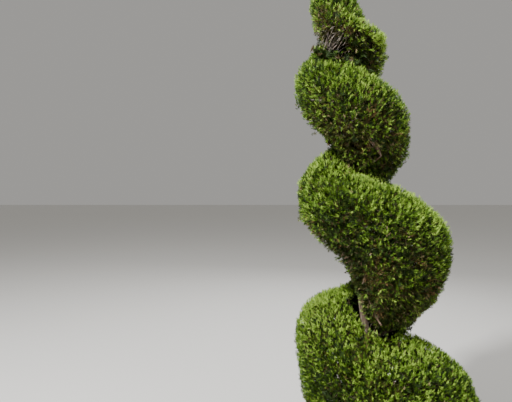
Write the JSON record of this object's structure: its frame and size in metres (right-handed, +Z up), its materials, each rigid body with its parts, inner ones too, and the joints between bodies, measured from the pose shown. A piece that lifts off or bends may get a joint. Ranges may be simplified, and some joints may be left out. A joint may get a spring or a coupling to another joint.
{
  "type": "spiral topiary conifer",
  "caption": "Evergreen conifer clipped as a spiral topiary: a leaning trunk with short boughs and one band of foliage winding down round it from a pointed tip.",
  "frame": {"origin": "middle of the flat cut under the trunk, at ground level", "axes": "+Z up, -Y the plant's front, +X to the right of a viewer in front; the plant leans towards -X"},
  "size_m": [0.7235, 0.7028, 2.1701],
  "materials": {
    "foliage": "matt scale-leaved sprays, yellow-green on top and browner beneath",
    "bark": "rough grey-brown bark in strips"
  },
  "bodies": {
    "root": {"trunk": "bark", "bough_01": "bark", "bough_02": "bark", "bough_03": "bark", "bough_04": "bark", "bough_05": "bark", "bough_06": "bark", "bough_07": "bark", "bough_08": "bark", "bough_09": "bark", "bough_10": "bark", "bough_11": "bark", "bough_12": "bark", "bough_13": "bark", "bough_14": "bark", "bough_15": "bark", "foliage_tip": "foliage", "foliage_01": "foliage", "foliage_02": "foliage", "foliage_03": "foliage", "foliage_04": "foliage", "foliage_05": "foliage", "foliage_06": "foliage", "foliage_07": "foliage", "foliage_08": "foliage", "foliage_09": "foliage", "foliage_10": "foliage", "foliage_11": "foliage", "foliage_12": "foliage", "foliage_13": "foliage", "foliage_14": "foliage", "foliage_15": "foliage"}
  },
  "joints": []
}
